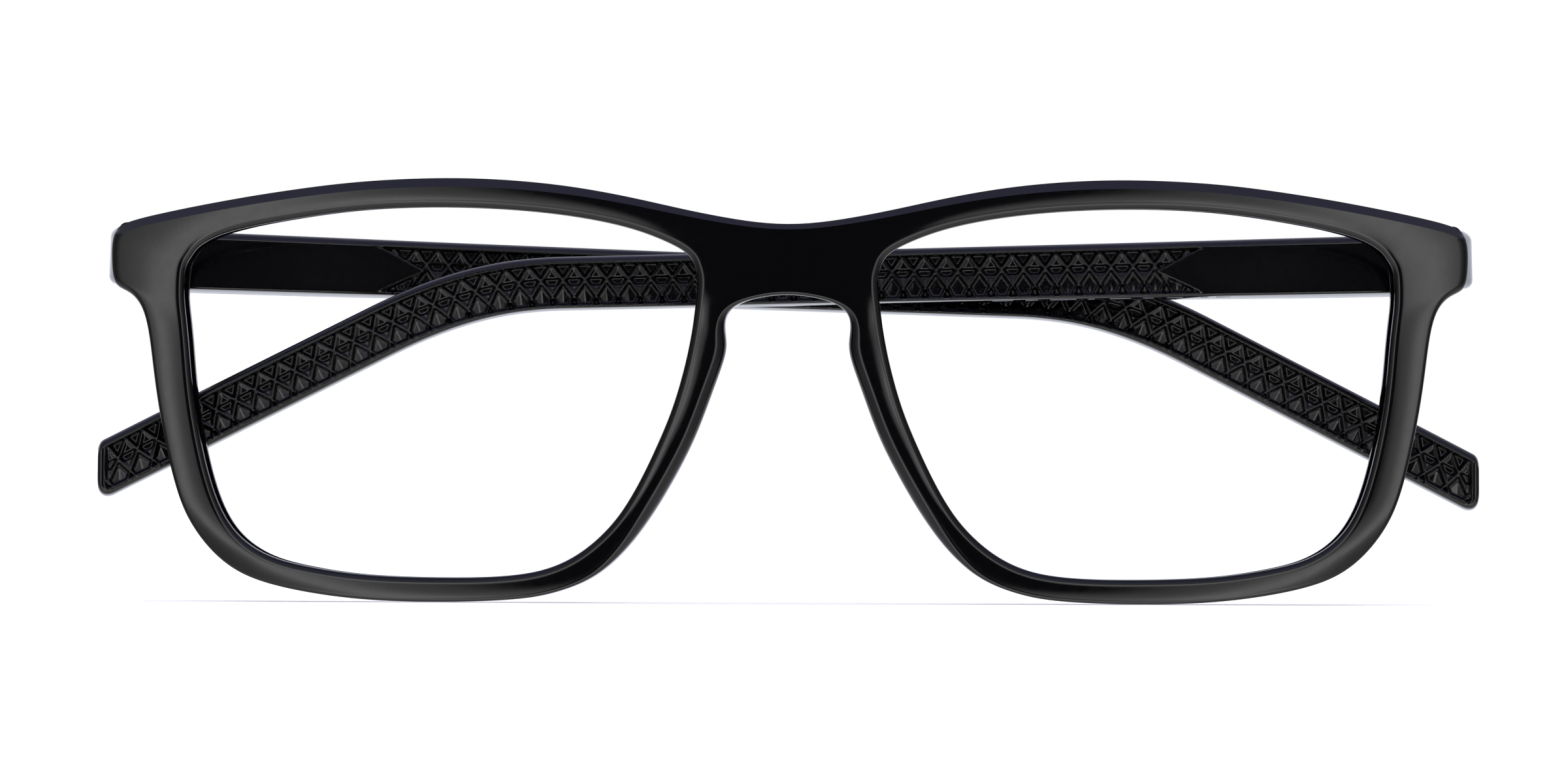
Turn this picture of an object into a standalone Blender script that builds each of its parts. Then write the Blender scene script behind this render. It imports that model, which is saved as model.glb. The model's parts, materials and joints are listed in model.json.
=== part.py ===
"""Full-rim eyeglasses with their temples folded: front, lenses, temples and spring hinges.

Metres, +Z up.  The front stands upright on the lower edges of its rims and faces -Y.
Left and right are the wearer's: left is at +X.  The origin is the bottom centre of the box.
"""
import math

import bmesh
import bpy
import numpy as np
from mathutils import Matrix, Vector

MM = 0.001

# Front, in millimetres
WRAP_RADIUS = 300.0        # radius that the whole front is bent to
FRONT_Y = -11.7            # the front's foremost line, at the bridge
RIM_THICK = 3.6
EDGE_CHAMFER = 0.6
APERTURE_CHAMFER = 0.45
GROOVE_DEPTH = 0.8         # lens groove
GROOVE_MOUTH = 2.2
GROOVE_FLOOR = 1.2
SPAN_STEPS = 2             # points added to each span of an outline

# Matched points of the half front, clockwise from the top centre: outer edge and lens aperture
OUTLINE_PAIRS = [
    ((0.0, 39.6), (10.3, 36.3)),
    ((8.8, 40.8), (12.0, 37.5)),
    ((17.0, 42.6), (17.0, 39.4)),
    ((25.0, 43.9), (25.0, 40.8)),
    ((34.5, 44.5), (35.0, 41.4)),
    ((45.0, 44.1), (45.0, 41.1)),
    ((54.0, 42.95), (54.0, 39.8)),
    ((60.2, 41.9), (59.4, 38.6)),
    ((65.5, 40.85), (62.0, 37.3)),
    ((69.5, 39.9), (62.9, 36.2)),
    ((70.6, 38.9), (63.3, 35.2)),
    ((70.8, 36.4), (63.5, 33.6)),
    ((70.4, 33.3), (63.4, 31.6)),
    ((68.6, 32.3), (63.2, 29.8)),
    ((67.2, 29.4), (62.9, 27.0)),
    ((66.2, 21.5), (62.3, 20.6)),
    ((64.3, 12.4), (60.6, 12.6)),
    ((62.2, 7.6), (58.3, 7.7)),
    ((58.8, 3.8), (54.9, 5.0)),
    ((54.2, 1.7), (50.7, 3.75)),
    ((45.8, 0.3), (44.5, 2.85)),
    ((37.0, 0.0), (36.5, 2.6)),
    ((29.2, 0.25), (30.0, 2.75)),
    ((24.7, 0.95), (25.3, 3.5)),
    ((20.4, 2.6), (21.6, 5.3)),
    ((17.0, 5.5), (18.4, 8.2)),
    ((14.2, 9.2), (16.1, 11.6)),
    ((11.8, 13.2), (14.0, 15.8)),
    ((9.6, 17.5), (12.1, 20.3)),
    ((7.7, 22.6), (10.8, 24.8)),
    ((6.4, 26.4), (10.1, 28.2)),
    ((6.6, 28.7), (9.8, 30.3)),
    ((6.3, 30.4), (9.6, 31.9)),
    ((4.4, 31.7), (9.5, 33.1)),
    ((0.0, 32.4), (9.5, 34.2)),
    ((0.0, 36.0), (9.8, 35.3)),
]
CENTRE_SPANS = 2           # the last spans run up the centre line, where the halves join
FOOT_HALF = 6.0            # half length of the flat under each rim
FOOT_X = 37.0

# Lenses
LENS_THICK = 1.6
LENS_TONGUE = 0.5          # how far the lens edge enters the groove
LENS_TONGUE_THICK = 0.6
LENS_DOME = 1.3
LENS_RINGS = (0.35, 0.7)
EYE_CENTRE = (36.8, 22.0)

# Nose pads, moulded with the front
PAD_CENTRE = (9.9, 4.6, 21.3)
PAD_HALF = (1.4, 3.8, 7.0)
PAD_SPLAY = math.radians(10.0)
PAD_LEAN = math.radians(21.0)

# Hinge axis of each side
AXIS_X = 66.2
AXIS_Y = 15.6              # behind the front's foremost line
AXIS_Z = 36.0
AXIS_LEAN_IN = math.radians(1.7)
PANTOSCOPIC = math.radians(6.7)
FOLD = {1: math.radians(91.9), -1: math.radians(88.2)}
SIDE_NAMES = {1: "left", -1: "right"}

# Temples, in their own frame: s along, t outward from the axis, h up the axis
TEMPLE_START = 0.2
TEMPLE_STRAIGHT = 91.0
BEND_ANGLE = math.radians(25.0)
BEND_RADIUS = 45.0
DROP_LENGTH = 33.4
TEMPLE_INNER_T = 1.6
TEMPLE_CHAMFER = 0.7
TEMPLE_SIZES = [           # s, height, thickness
    (0.0, 5.9, 4.4),
    (14.0, 5.75, 4.4),
    (28.0, 5.55, 3.6),
    (56.0, 5.35, 3.25),
    (91.0, 5.2, 3.0),
    (112.0, 5.25, 3.0),
    (136.0, 5.3, 3.0),
    (145.0, 5.0, 3.0),
]
CHANNEL_START = 23.1       # rib channel on the inner face
CHANNEL_POINT = 27.8       # the plain zone by the hinge ends in a point in the channel
CHANNEL_END = 141.8
CHANNEL_LIP = 0.65
CHANNEL_DEPTH = 1.5
END_BLOCK = (-7.2, -0.2)   # end piece, from inside the front to the mitre face
END_TAPER = 1.8            # how much narrower the end piece is at the front

# Spring hinge, in the same frame; a box is two (s, t, h) corners
FOOT_BOX = ((-5.9, -0.6, -1.6), (-3.4, 0.9, 1.6))
PLATE_BOX = ((-3.9, -1.6, -2.6), (-1.7, 1.3, 2.6))
ARM_BOX = ((0.9, -0.9, -0.85), (2.4, 4.6, 0.85))
ARM_SLOT = ((-1.0, 0.6, -1.2), (2.9, 5.2, 1.2))
KNUCKLE_R = 1.3
PIN_HOLE_R = 0.7
SCREW_R = 0.6
SCREW_HEAD_R = 1.15
SCREW_SPAN = (-2.9, 2.65, 3.25)
EYE_HALF = 0.85
KNUCKLE_SPAN = (1.1, 2.6)
CARTRIDGE_T = 3.8
HOUSING = (3.2, 13.2)
HOUSING_HALF = 1.3
HOUSING_HALF_H = 1.5
BORE_R = 0.95
BORE_END = 12.9
SHANK_R = 0.5
SHANK = (2.0, 12.3)
BUSH = (3.3, 4.5)
SPRING = (4.75, 10.65)
NUT = (10.9, 12.1)
SLEEVE_R = 0.85
SLEEVE_HOLE_R = 0.58
SPRING_TURNS = 7
SPRING_WIRE = 0.12
SPRING_MEAN = 0.71
FIT_GAP = 0.3
ROUND_SIDES = 20

MATERIALS = {              # colour, roughness, metallic
    "black_plastic": ((0.010, 0.010, 0.013), 0.12, 0.0),
    "clear_lens": ((0.93, 0.95, 0.96), 0.03, 0.0),
    "hinge_steel": ((0.55, 0.55, 0.56), 0.28, 1.0),
    "spring_steel": ((0.42, 0.42, 0.44), 0.32, 1.0),
    "brass": ((0.62, 0.45, 0.20), 0.30, 1.0),
}


def clear_scene():
    """Remove every object that the file opened with."""
    for obj in list(bpy.data.objects):
        bpy.data.objects.remove(obj, do_unlink=True)


def material(name):
    """The named Principled material, made once."""
    found = bpy.data.materials.get(name)
    if found:
        return found
    colour, roughness, metallic = MATERIALS[name]
    mat = bpy.data.materials.new(name)
    mat.use_nodes = True
    shader = mat.node_tree.nodes["Principled BSDF"]
    shader.inputs["Base Color"].default_value = (*colour, 1.0)
    shader.inputs["Roughness"].default_value = roughness
    shader.inputs["Metallic"].default_value = metallic
    mat.diffuse_color = (*colour, 1.0)
    return mat


def add_object(name, bm, mat, matrix=None, smooth=True):
    """Turn a bmesh given in millimetres into a named object at its place."""
    bmesh.ops.recalc_face_normals(bm, faces=bm.faces)
    bmesh.ops.scale(bm, vec=(MM, MM, MM), verts=bm.verts)
    mesh = bpy.data.meshes.new(name)
    bm.to_mesh(mesh)
    bm.free()
    obj = bpy.data.objects.new(name, mesh)
    bpy.context.scene.collection.objects.link(obj)
    if mat:
        mesh.materials.append(material(mat))
    if matrix is not None:
        obj.matrix_world = matrix
    if smooth:
        mesh.shade_smooth()
        mesh.set_sharp_from_angle(angle=math.radians(30))
    return obj


def combine(obj, tool, operation):
    """Join a tool shape to obj, or cut it away, and keep the tool out of the model."""
    mod = obj.modifiers.new(tool.name, "BOOLEAN")
    mod.operation = operation
    mod.solver = "EXACT"
    mod.object = tool
    tool.hide_render = True
    tool.display_type = "WIRE"


def grid_faces(bm, rows, close_rows=False, close_columns=False):
    """Bridge rows of vertices with quads, optionally joining last to first."""
    row_count = len(rows) if close_rows else len(rows) - 1
    size = len(rows[0])
    column_count = size if close_columns else size - 1
    for i in range(row_count):
        here = rows[i]
        there = rows[(i + 1) % len(rows)]
        for j in range(column_count):
            k = (j + 1) % size
            bm.faces.new((here[j], here[k], there[k], there[j]))


def add_box(bm, low, high):
    """Add a box between two corners."""
    centre = (Vector(low) + Vector(high)) / 2
    size = Vector(high) - Vector(low)
    matrix = Matrix.Translation(centre) @ Matrix.Diagonal((*size, 1.0))
    bmesh.ops.create_cube(bm, size=1.0, matrix=matrix)


def add_rod(bm, radius, start, end, along="h", centre=(0.0, 0.0), sides=ROUND_SIDES):
    """Add a round bar along s or h; centre is its place across."""
    middle = (start + end) / 2
    if along == "h":
        matrix = Matrix.Translation((centre[0], centre[1], middle))
    else:
        matrix = Matrix.Translation((middle, centre[0], centre[1])) @ Matrix.Rotation(math.pi / 2, 4, "Y")
    bmesh.ops.create_cone(
        bm, cap_ends=True, segments=sides, radius1=radius, radius2=radius,
        depth=end - start, matrix=matrix)


def box_object(name, low, high, mat, matrix):
    """One box as an object."""
    bm = bmesh.new()
    add_box(bm, low, high)
    return add_object(name, bm, mat, matrix, smooth=False)


def rod_object(name, radius, start, end, mat, matrix, along="h", centre=(0.0, 0.0)):
    """One round bar as an object."""
    bm = bmesh.new()
    add_rod(bm, radius, start, end, along, centre)
    return add_object(name, bm, mat, matrix)


# ---------------------------------------------------------------- the front

def catmull(points, steps, closed):
    """Catmull-Rom curve through points; an open one has a guide point at each end."""
    pts = np.array(points, dtype=float)
    if closed:
        pts = np.vstack([pts[-1], pts, pts[0], pts[1]])
    out = []
    for i in range(1, len(pts) - 2):
        p0, p1, p2, p3 = pts[i - 1:i + 3]
        for k in range(steps):
            u = k / steps
            out.append(0.5 * (2 * p1 + (p2 - p0) * u + (2 * p0 - 5 * p1 + 4 * p2 - p3) * u * u
                              + (3 * p1 - p0 - 3 * p2 + p3) * u ** 3))
    if not closed:
        out.append(pts[-2])
    return np.array(out)


def mirror_x(point):
    """The same point on the other half."""
    return (-point[0], point[1])


def outer_loop():
    """The half front's outer edge, then the centre line, and how many points the edge has."""
    pts = [pair[0] for pair in OUTLINE_PAIRS]
    edge_pts = pts[:len(pts) - CENTRE_SPANS + 1]
    edge = catmull([mirror_x(edge_pts[1]), *edge_pts, mirror_x(edge_pts[-2])], SPAN_STEPS, False)
    under_foot = np.abs(edge[:, 0] - FOOT_X) <= FOOT_HALF
    edge[under_foot & (edge[:, 1] < 1.0), 1] = 0.0
    edge[:, 1] = np.maximum(edge[:, 1], 0.0)
    rows = CENTRE_SPANS * SPAN_STEPS
    low = edge[-1, 1] + EDGE_CHAMFER
    high = edge[0, 1] - EDGE_CHAMFER
    centre = [(0.0, low + (high - low) * k / rows) for k in range(1, rows)]
    return np.vstack([edge, centre]), len(edge)


def aperture_loop():
    """The lens aperture, point for point with the outer loop."""
    return catmull([pair[1] for pair in OUTLINE_PAIRS], SPAN_STEPS, True)


def outward_normals(loop):
    """Unit normals of a clockwise loop, pointing out of it."""
    tangent = np.roll(loop, -1, axis=0) - np.roll(loop, 1, axis=0)
    normal = np.stack([-tangent[:, 1], tangent[:, 0]], axis=1)
    return normal / np.linalg.norm(normal, axis=1, keepdims=True)


def front_y(x):
    """Depth of the bent front face at x."""
    return FRONT_Y + WRAP_RADIUS - math.sqrt(WRAP_RADIUS ** 2 - x * x)


def inset_edge(loop, edge_count, distance):
    """The outer loop moved inwards along its edge; the centre line stays."""
    normal = outward_normals(loop)
    normal[0] = (0.0, 1.0)
    normal[edge_count - 1] = (0.0, -1.0)
    inset = loop.copy()
    inset[:edge_count] -= normal[:edge_count] * distance
    return inset


def build_half_front(bm, side):
    """One half of the front: rings of points round its lens, joined into a skin."""
    outer, edge_count = outer_loop()
    outer_in = inset_edge(outer, edge_count, EDGE_CHAMFER)
    hole = aperture_loop()
    hole_normal = outward_normals(hole)
    hole_out = hole + hole_normal * APERTURE_CHAMFER
    floor = hole + hole_normal * GROOVE_DEPTH
    middle = (hole_out + outer_in) / 2

    def column(x, z, depth):
        return bm.verts.new((side * x, front_y(x) + depth, z))

    half = RIM_THICK / 2
    section = [
        (outer_in, 0.0), (middle, 0.0), (hole_out, 0.0), (hole, APERTURE_CHAMFER),
        (hole, half - GROOVE_MOUTH / 2), (floor, half - GROOVE_FLOOR / 2),
        (floor, half + GROOVE_FLOOR / 2), (hole, half + GROOVE_MOUTH / 2),
        (hole, RIM_THICK - APERTURE_CHAMFER), (hole_out, RIM_THICK), (middle, RIM_THICK),
        (outer_in, RIM_THICK),
    ]
    rows = [[column(*loop[i], depth) for loop, depth in section] for i in range(len(outer))]
    grid_faces(bm, rows, close_rows=True)
    wall = []
    for i in range(edge_count):
        lip = [column(*outer[i], RIM_THICK - EDGE_CHAMFER), column(*outer[i], EDGE_CHAMFER)]
        wall.append([rows[i][-1], *lip, rows[i][0]])
    grid_faces(bm, wall)


def build_nose_pad(side):
    """A pad that swells from the back of the rim towards the nose."""
    bm = bmesh.new()
    bmesh.ops.create_uvsphere(bm, u_segments=16, v_segments=8, radius=1.0)
    centre = Vector((side * PAD_CENTRE[0], FRONT_Y + PAD_CENTRE[1], PAD_CENTRE[2]))
    turn = Matrix.Rotation(-side * PAD_LEAN, 4, "Y") @ Matrix.Rotation(-side * PAD_SPLAY, 4, "Z")
    bmesh.ops.transform(bm, verts=bm.verts, matrix=Matrix.Translation(centre) @ turn
                        @ Matrix.Diagonal((*PAD_HALF, 1.0)))
    return add_object(f"pad_shape_{SIDE_NAMES[side]}", bm, None)


def build_front():
    """The one-piece front with end pieces, nose pads, lens grooves and hinge pockets."""
    bm = bmesh.new()
    for side in (1, -1):
        build_half_front(bm, side)
    bmesh.ops.remove_doubles(bm, verts=bm.verts, dist=0.001)
    front = add_object("front_frame", bm, "black_plastic")
    for side in (1, -1):
        combine(front, build_nose_pad(side), "UNION")
        combine(front, build_end_block(side), "UNION")
        combine(front, build_foot_pocket(side), "DIFFERENCE")
    return front


def build_end_block(side):
    """The end piece behind the rim's corner; its back face meets the open temple."""
    half = TEMPLE_SIZES[0][1] / 2
    outer_t = TEMPLE_INNER_T + TEMPLE_SIZES[0][2]
    bm = bmesh.new()
    ys = sorted((outward(side, TEMPLE_INNER_T), outward(side, outer_t)))
    add_box(bm, (END_BLOCK[0], ys[0], -half), (END_BLOCK[1], ys[1], half))
    for vert in bm.verts:
        if vert.co.x < END_BLOCK[0] + 1.0 and abs(vert.co.y) > TEMPLE_INNER_T + 1.0:
            vert.co.y -= outward(side, END_TAPER)
    long_edges = [e for e in bm.edges if abs(e.verts[0].co.x - e.verts[1].co.x) > 1.0]
    bmesh.ops.recalc_face_normals(bm, faces=bm.faces)
    bmesh.ops.bevel(bm, geom=long_edges, offset=TEMPLE_CHAMFER * 0.8, segments=1, affect="EDGES")
    return add_object(f"end_block_{SIDE_NAMES[side]}", bm, None, hinge_frame(side, 0.0))


def build_foot_pocket(side):
    """The pocket that the front hinge's foot is pressed into."""
    low = (FOOT_BOX[0][0] - FIT_GAP, FOOT_BOX[0][1] - FIT_GAP, FOOT_BOX[0][2] - FIT_GAP)
    high = (FOOT_BOX[1][0], FOOT_BOX[1][1] + FIT_GAP, FOOT_BOX[1][2] + FIT_GAP)
    return side_box(f"foot_pocket_{SIDE_NAMES[side]}", low, high, None, side, 0.0)


# ---------------------------------------------------------------- side pieces

def hinge_frame(side, fold):
    """World matrix of a side's hinge frame, turned by its fold from the open place."""
    axis = Vector((-side * math.tan(AXIS_LEAN_IN), math.tan(PANTOSCOPIC), 1.0)).normalized()
    along = Vector((0.0, 1.0, 0.0))
    along = (along - along.dot(axis) * axis).normalized()
    across = axis.cross(along)
    turn = Matrix((along, across, axis)).transposed().to_4x4()
    place = Matrix.Translation(Vector((side * AXIS_X, FRONT_Y + AXIS_Y, AXIS_Z)) * MM)
    return place @ Matrix.Rotation(side * fold, 4, axis) @ turn


def outward(side, t):
    """Local y of a place t millimetres outward of the axis: the frame's y points to -X."""
    return -side * t


def side_box(name, low, high, mat, side, fold):
    """A box given as (s, t, h) corners, at one side's hinge."""
    ys = sorted((outward(side, low[1]), outward(side, high[1])))
    return box_object(name, (low[0], ys[0], low[2]), (high[0], ys[1], high[2]), mat,
                      hinge_frame(side, fold))


def build_lens(side):
    """A domed lens whose thinned edge sits in the groove."""
    hole = aperture_loop()
    normal = outward_normals(hole)
    centre = np.array(EYE_CENTRE)
    bm = bmesh.new()

    def ring(scale, grow, half, dome):
        pts = centre + (hole - centre) * scale + normal * grow
        return [bm.verts.new((side * x, front_y(x) + RIM_THICK / 2 - dome + half, z)) for x, z in pts]

    def dome_at(scale):
        return LENS_DOME * (1.0 - scale * scale)

    half = LENS_THICK / 2
    tongue = LENS_TONGUE_THICK / 2
    rows = [ring(scale, 0.0, -half, dome_at(scale)) for scale in LENS_RINGS]
    rows += [ring(1.0, 0.0, -half, 0.0), ring(1.0, LENS_TONGUE, -tongue, 0.0)]
    rows += [ring(1.0, LENS_TONGUE, tongue, 0.0), ring(1.0, 0.0, half, 0.0)]
    rows += [ring(scale, 0.0, half, dome_at(scale)) for scale in reversed(LENS_RINGS)]
    grid_faces(bm, rows, close_columns=True)
    for row, depth in ((rows[0], -half), (rows[-1], half)):
        y = front_y(centre[0]) + RIM_THICK / 2 - LENS_DOME + depth
        hub = bm.verts.new((side * centre[0], y, centre[1]))
        for i, vert in enumerate(row):
            bm.faces.new((hub, vert, row[(i + 1) % len(row)]))
    return add_object(f"lens_{SIDE_NAMES[side]}", bm, "clear_lens")


def temple_path(length):
    """Place (s, h) and downward angle of the temple's centre line at a length along it."""
    bend_end = TEMPLE_STRAIGHT + BEND_RADIUS * BEND_ANGLE
    if length <= TEMPLE_STRAIGHT:
        return length, 0.0, 0.0
    angle = min((length - TEMPLE_STRAIGHT) / BEND_RADIUS, BEND_ANGLE)
    s = TEMPLE_STRAIGHT + BEND_RADIUS * math.sin(angle)
    h = -BEND_RADIUS * (1.0 - math.cos(angle))
    rest = max(length - bend_end, 0.0)
    return s + rest * math.cos(angle), h - rest * math.sin(angle), angle


def temple_size(length):
    """Height and thickness at a length along the temple."""
    table = np.array(TEMPLE_SIZES)
    return np.interp(length, table[:, 0], table[:, 1]), np.interp(length, table[:, 0], table[:, 2])


def temple_row(bm, side, length, section):
    """Vertices of one cross-section, whose points are (t, n), n across the centre line."""
    s, h, angle = temple_path(length)
    return [bm.verts.new((s + n * math.sin(angle), outward(side, t), h + n * math.cos(angle)))
            for t, n in section]


def chamfered(low_t, high_t, half, chamfer):
    """A rectangle with cut corners, as (t, n) points."""
    c = chamfer
    return [(low_t, half - c), (low_t, c - half), (low_t + c, -half), (high_t - c, -half),
            (high_t, c - half), (high_t, half - c), (high_t - c, half), (low_t + c, half)]


def temple_stations():
    """Lengths of the cross-sections: few where it is straight, more round the bend."""
    bend_end = TEMPLE_STRAIGHT + BEND_RADIUS * BEND_ANGLE
    end = bend_end + DROP_LENGTH
    straight = [TEMPLE_START, 14.0, 28.0, 56.0]
    bend = list(np.linspace(TEMPLE_STRAIGHT, bend_end, 8))
    return straight + bend + [136.0, end - 1.6, end - 0.5, end]


def build_temple_blank(side):
    """The temple's outer shape with a rounded tip."""
    bm = bmesh.new()
    rows = []
    stations = temple_stations()
    for length in stations:
        height, thick = temple_size(length)
        shrink = {stations[-1]: 1.5, stations[-2]: 0.6}.get(length, 0.0)
        section = chamfered(TEMPLE_INNER_T + shrink * 0.4, TEMPLE_INNER_T + thick - shrink * 0.4,
                            height / 2 - shrink, TEMPLE_CHAMFER)
        rows.append(temple_row(bm, side, length, section))
    grid_faces(bm, rows, close_columns=True)
    bm.faces.new(rows[0])
    bm.faces.new(reversed(rows[-1]))
    return add_object(f"temple_{SIDE_NAMES[side]}", bm, "black_plastic", hinge_frame(side, FOLD[side]))


def build_channel(side):
    """The long recess in the temple's inner face, which starts round a point of plain face."""
    bm = bmesh.new()
    rows = []
    lengths = [CHANNEL_START, 56.0]
    lengths += [x for x in temple_stations() if TEMPLE_STRAIGHT <= x <= 136.0] + [CHANNEL_END]
    deep = TEMPLE_INNER_T + CHANNEL_DEPTH
    clear = TEMPLE_INNER_T - 1.0
    for length in lengths:
        half = temple_size(length)[0] / 2 - CHANNEL_LIP
        section = [(deep, half), (deep, 0.0), (deep, -half), (clear, -half), (clear, 0.0), (clear, half)]
        rows.append(temple_row(bm, side, length, section))
    for vert in (rows[0][1], rows[0][4]):
        vert.co.x = CHANNEL_POINT
    grid_faces(bm, rows, close_columns=True)
    bm.faces.new(rows[0])
    bm.faces.new(reversed(rows[-1]))
    return add_object(f"channel_shape_{SIDE_NAMES[side]}", bm, None, hinge_frame(side, FOLD[side]))


def build_temple(side):
    """A temple with its rib channel, arm slot and the pocket of the spring housing."""
    temple = build_temple_blank(side)
    name = SIDE_NAMES[side]
    combine(temple, build_channel(side), "DIFFERENCE")
    slot = side_box(f"arm_slot_{name}", *ARM_SLOT, None, side, FOLD[side])
    combine(temple, slot, "DIFFERENCE")
    reach = HOUSING_HALF + FIT_GAP
    pocket = side_box(
        f"housing_pocket_{name}", (ARM_SLOT[1][0] - 0.5, CARTRIDGE_T - reach, -HOUSING_HALF_H - FIT_GAP),
        (HOUSING[1] + FIT_GAP, CARTRIDGE_T + reach, HOUSING_HALF_H + FIT_GAP), None, side, FOLD[side])
    combine(temple, pocket, "DIFFERENCE")
    return temple


def build_front_hinge(side):
    """Two knuckles on a plate, with a foot that is pressed into the front."""
    name = f"front_hinge_{SIDE_NAMES[side]}"
    matrix = hinge_frame(side, 0.0)
    hinge = side_box(name, *PLATE_BOX, "hinge_steel", side, 0.0)
    combine(hinge, side_box(f"{name}_foot", *FOOT_BOX, None, side, 0.0), "UNION")
    low, high = KNUCKLE_SPAN
    for word, start, end in (("top", low, high), ("low", -high, -low)):
        knuckle = rod_object(f"{name}_{word}_knuckle", KNUCKLE_R, start, end, None, matrix)
        web = side_box(f"{name}_{word}_web", (PLATE_BOX[1][0] - 0.5, -KNUCKLE_R * 0.8, start),
                       (0.0, KNUCKLE_R * 0.8, end), None, side, 0.0)
        combine(hinge, web, "UNION")
        combine(hinge, knuckle, "UNION")
    combine(hinge, rod_object(f"{name}_bore", PIN_HOLE_R, -4.0, 4.0, None, matrix), "DIFFERENCE")
    return hinge


def build_screw(side):
    """The hinge screw with a slotted head."""
    name = f"hinge_screw_{SIDE_NAMES[side]}"
    low, neck, top = SCREW_SPAN
    matrix = hinge_frame(side, 0.0)
    screw = rod_object(name, SCREW_R, low, neck + 0.2, "hinge_steel", matrix)
    combine(screw, rod_object(f"{name}_head", SCREW_HEAD_R, neck, top, None, matrix), "UNION")
    slot = box_object(f"{name}_slot", (-2.0, -0.15, top - 0.25), (2.0, 0.15, top + 1.0), None, matrix)
    combine(screw, slot, "DIFFERENCE")
    return screw


def build_plunger(side):
    """The eye that turns on the screw, its arm, and the shank inside the temple."""
    name = f"spring_plunger_{SIDE_NAMES[side]}"
    matrix = hinge_frame(side, FOLD[side])
    plunger = rod_object(name, KNUCKLE_R, -EYE_HALF, EYE_HALF, "hinge_steel", matrix)
    combine(plunger, side_box(f"{name}_arm", *ARM_BOX, None, side, FOLD[side]), "UNION")
    shank = rod_object(f"{name}_shank", SHANK_R, *SHANK, None, matrix, "s",
                       (outward(side, CARTRIDGE_T), 0.0))
    combine(plunger, shank, "UNION")
    combine(plunger, rod_object(f"{name}_bore", PIN_HOLE_R, -2.0, 2.0, None, matrix), "DIFFERENCE")
    return plunger


def build_housing(side):
    """The metal box that holds the spring, bored from its mouth."""
    name = f"spring_housing_{SIDE_NAMES[side]}"
    housing = side_box(name, (HOUSING[0], CARTRIDGE_T - HOUSING_HALF, -HOUSING_HALF_H),
                       (HOUSING[1], CARTRIDGE_T + HOUSING_HALF, HOUSING_HALF_H), "hinge_steel",
                       side, FOLD[side])
    bore = rod_object(f"{name}_bore", BORE_R, HOUSING[0] - 1.0, BORE_END, None,
                      hinge_frame(side, FOLD[side]), "s", (outward(side, CARTRIDGE_T), 0.0))
    combine(housing, bore, "DIFFERENCE")
    return housing


def build_sleeve(name, span, mat, side):
    """A short ring round the plunger's shank."""
    matrix = hinge_frame(side, FOLD[side])
    centre = (outward(side, CARTRIDGE_T), 0.0)
    sleeve = rod_object(f"{name}_{SIDE_NAMES[side]}", SLEEVE_R, *span, mat, matrix, "s", centre)
    hole = rod_object(f"{name}_hole_{SIDE_NAMES[side]}", SLEEVE_HOLE_R, span[0] - 1.0, span[1] + 1.0,
                      None, matrix, "s", centre)
    combine(sleeve, hole, "DIFFERENCE")
    return sleeve


def build_coil(side):
    """The compression spring: a round wire carried along a helix."""
    bm = bmesh.new()
    steps = SPRING_TURNS * 12
    pitch = (SPRING[1] - SPRING[0]) / SPRING_TURNS
    rows = []
    for i in range(steps + 1):
        turn = 2 * math.pi * i / 12
        centre = Vector((SPRING[0] + pitch * i / 12, SPRING_MEAN * math.cos(turn),
                         SPRING_MEAN * math.sin(turn)))
        radial = Vector((0.0, math.cos(turn), math.sin(turn)))
        tangent = Vector((pitch / (2 * math.pi), -SPRING_MEAN * math.sin(turn),
                          SPRING_MEAN * math.cos(turn))).normalized()
        other = tangent.cross(radial)
        row = []
        for k in range(6):
            angle = 2 * math.pi * k / 6
            spot = centre + SPRING_WIRE * (math.cos(angle) * radial + math.sin(angle) * other)
            row.append(bm.verts.new((spot.x, spot.y + outward(side, CARTRIDGE_T), spot.z)))
        rows.append(row)
    grid_faces(bm, rows, close_columns=True)
    bm.faces.new(rows[0])
    bm.faces.new(reversed(rows[-1]))
    return add_object(f"coil_spring_{SIDE_NAMES[side]}", bm, "spring_steel",
                      hinge_frame(side, FOLD[side]))


def main():
    """Build every piece."""
    clear_scene()
    build_front()
    for side in (1, -1):
        build_lens(side)
        build_temple(side)
        build_front_hinge(side)
        build_screw(side)
        build_plunger(side)
        build_housing(side)
        build_sleeve("guide_bush", BUSH, "brass", side)
        build_sleeve("plunger_nut", NUT, "hinge_steel", side)
        build_coil(side)


main()
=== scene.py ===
"""Full-rim eyeglasses: a wrapped moulded front, clear lenses and temples with a rib lattice.

Metres, +Z up.  The front faces -Y and stands on the lower edges of its rims, and the temples
are folded behind it.  Left and right are the wearer's: left is at +X.
"""
import json
import math

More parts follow.
